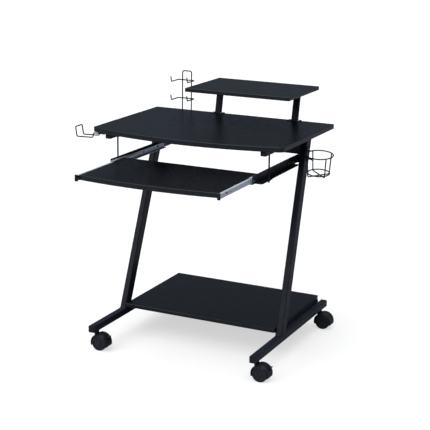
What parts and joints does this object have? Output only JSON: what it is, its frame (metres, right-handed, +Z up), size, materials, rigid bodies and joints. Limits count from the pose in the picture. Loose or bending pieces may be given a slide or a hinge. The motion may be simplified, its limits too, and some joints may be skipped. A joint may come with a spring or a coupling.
{
  "type": "computer desk",
  "caption": "Rolling computer desk: bow-fronted top on sloping tube frames, raised shelf, low shelf, keyboard tray on ball slides, wire hooks, cup holder and swivel casters.",
  "frame": {"origin": "centre of the bounding box, on the floor", "axes": "+X to the desk's right seen from the user's seat, +Y from the user to the back, +Z up"},
  "size_m": [0.7714, 0.7589, 0.848],
  "materials": {
    "black_board": "black melamine-faced board with a soft sheen and banded edges",
    "black_paint": "black powder coat, satin",
    "zinc": "bright zinc plate",
    "black_plastic": "moulded black plastic, fine texture",
    "wheel_plastic": "hard black nylon, slightly glossy"
  },
  "bodies": {
    "frame": {"desktop": "black_board", "bottom_shelf": "black_board", "upper_shelf": "black_board", "base_tube_left": "black_paint", "base_tube_right": "black_paint", "leg_left": "black_paint", "leg_right": "black_paint", "upper_rail_left": "black_paint", "upper_rail_right": "black_paint", "rear_crossbar": "black_paint", "shelf_angle_left": "black_paint", "shelf_angle_right": "black_paint", "hanger_rods": "black_paint", "hanger_nuts": "black_paint", "caster_stems": "black_paint", "slide_channel_left": "black_paint", "slide_channel_right": "black_paint", "leg_brackets": "black_paint", "shelf_post_left": "black_paint", "shelf_post_right": "black_paint", "rack_frame": "black_paint", "rack_hooks": "black_paint", "headphone_hook": "black_paint", "accessory_plates": "black_paint", "cup_rim": "black_paint", "cup_basket": "black_paint", "cup_mount": "black_paint", "slide_outer_left": "zinc", "slide_outer_right": "zinc", "slide_screws": "zinc", "machine_screws": "zinc", "board_screws": "zinc", "base_tube_caps": "black_plastic", "rail_end_caps": "black_plastic"},
    "tray": {"keyboard_tray": "black_board", "slide_inner_left": "zinc", "slide_inner_right": "zinc", "slide_front_caps": "black_plastic", "tray_screws": "zinc"},
    "cages": {"ball_cages": "zinc", "slide_balls": "zinc"},
    "caster_front_left": {"caster_body_front_left": "black_plastic", "axle_front_left": "zinc"},
    "wheel_front_left_front": {"wheel_front_left_front": "wheel_plastic"},
    "wheel_front_left_rear": {"wheel_front_left_rear": "wheel_plastic"},
    "brake_front_left": {"brake_lever_front_left": "black_plastic"},
    "caster_front_right": {"caster_body_front_right": "black_plastic", "axle_front_right": "zinc"},
    "wheel_front_right_front": {"wheel_front_right_front": "wheel_plastic"},
    "wheel_front_right_rear": {"wheel_front_right_rear": "wheel_plastic"},
    "brake_front_right": {"brake_lever_front_right": "black_plastic"},
    "caster_rear_left": {"caster_body_rear_left": "black_plastic", "axle_rear_left": "zinc"},
    "wheel_rear_left_front": {"wheel_rear_left_front": "wheel_plastic"},
    "wheel_rear_left_rear": {"wheel_rear_left_rear": "wheel_plastic"},
    "caster_rear_right": {"caster_body_rear_right": "black_plastic", "axle_rear_right": "zinc"},
    "wheel_rear_right_front": {"wheel_rear_right_front": "wheel_plastic"},
    "wheel_rear_right_rear": {"wheel_rear_right_rear": "wheel_plastic"}
  },
  "joints": [
    {"name": "tray_slide", "type": "slide", "parent": "frame", "child": "tray", "axis": [0, 1, 0], "range_m": [0, 0.208]},
    {"name": "cage_roll", "type": "slide", "parent": "frame", "child": "cages", "axis": [0, 1, 0], "range_m": [0, 0.104]},
    {"name": "swivel_front_left", "type": "hinge", "parent": "frame", "child": "caster_front_left", "pos_m": [-0.27722, -0.1805, 0.045], "axis": [0, 0, 1], "continuous": true},
    {"name": "roll_front_left_front", "type": "hinge", "parent": "caster_front_left", "child": "wheel_front_left_front", "pos_m": [-0.26222, -0.1925, 0.025], "axis": [0, 1, 0], "continuous": true},
    {"name": "roll_front_left_rear", "type": "hinge", "parent": "caster_front_left", "child": "wheel_front_left_rear", "pos_m": [-0.26222, -0.1685, 0.025], "axis": [0, 1, 0], "continuous": true},
    {"name": "press_front_left", "type": "hinge", "parent": "caster_front_left", "child": "brake_front_left", "pos_m": [-0.24936, -0.1805, 0.04032], "axis": [0, 1, 0], "range_deg": [0, 12]},
    {"name": "swivel_front_right", "type": "hinge", "parent": "frame", "child": "caster_front_right", "pos_m": [0.28778, -0.1805, 0.045], "axis": [0, 0, 1], "continuous": true},
    {"name": "roll_front_right_front", "type": "hinge", "parent": "caster_front_right", "child": "wheel_front_right_front", "pos_m": [0.30278, -0.1925, 0.025], "axis": [0, 1, 0], "continuous": true},
    {"name": "roll_front_right_rear", "type": "hinge", "parent": "caster_front_right", "child": "wheel_front_right_rear", "pos_m": [0.30278, -0.1685, 0.025], "axis": [0, 1, 0], "continuous": true},
    {"name": "press_front_right", "type": "hinge", "parent": "caster_front_right", "child": "brake_front_right", "pos_m": [0.31564, -0.1805, 0.04032], "axis": [0, 1, 0], "range_deg": [0, 12]},
    {"name": "swivel_rear_left", "type": "hinge", "parent": "frame", "child": "caster_rear_left", "pos_m": [-0.27722, 0.3435, 0.045], "axis": [0, 0, 1], "continuous": true},
    {"name": "roll_rear_left_front", "type": "hinge", "parent": "caster_rear_left", "child": "wheel_rear_left_front", "pos_m": [-0.26222, 0.3315, 0.025], "axis": [0, 1, 0], "continuous": true},
    {"name": "roll_rear_left_rear", "type": "hinge", "parent": "caster_rear_left", "child": "wheel_rear_left_rear", "pos_m": [-0.26222, 0.3555, 0.025], "axis": [0, 1, 0], "continuous": true},
    {"name": "swivel_rear_right", "type": "hinge", "parent": "frame", "child": "caster_rear_right", "pos_m": [0.28778, 0.3435, 0.045], "axis": [0, 0, 1], "continuous": true},
    {"name": "roll_rear_right_front", "type": "hinge", "parent": "caster_rear_right", "child": "wheel_rear_right_front", "pos_m": [0.30278, 0.3315, 0.025], "axis": [0, 1, 0], "continuous": true},
    {"name": "roll_rear_right_rear", "type": "hinge", "parent": "caster_rear_right", "child": "wheel_rear_right_rear", "pos_m": [0.30278, 0.3555, 0.025], "axis": [0, 1, 0], "continuous": true}
  ],
  "couplings": [
    {"joint": "cage_roll", "follows": "tray_slide", "ratio": 0.5}
  ]
}
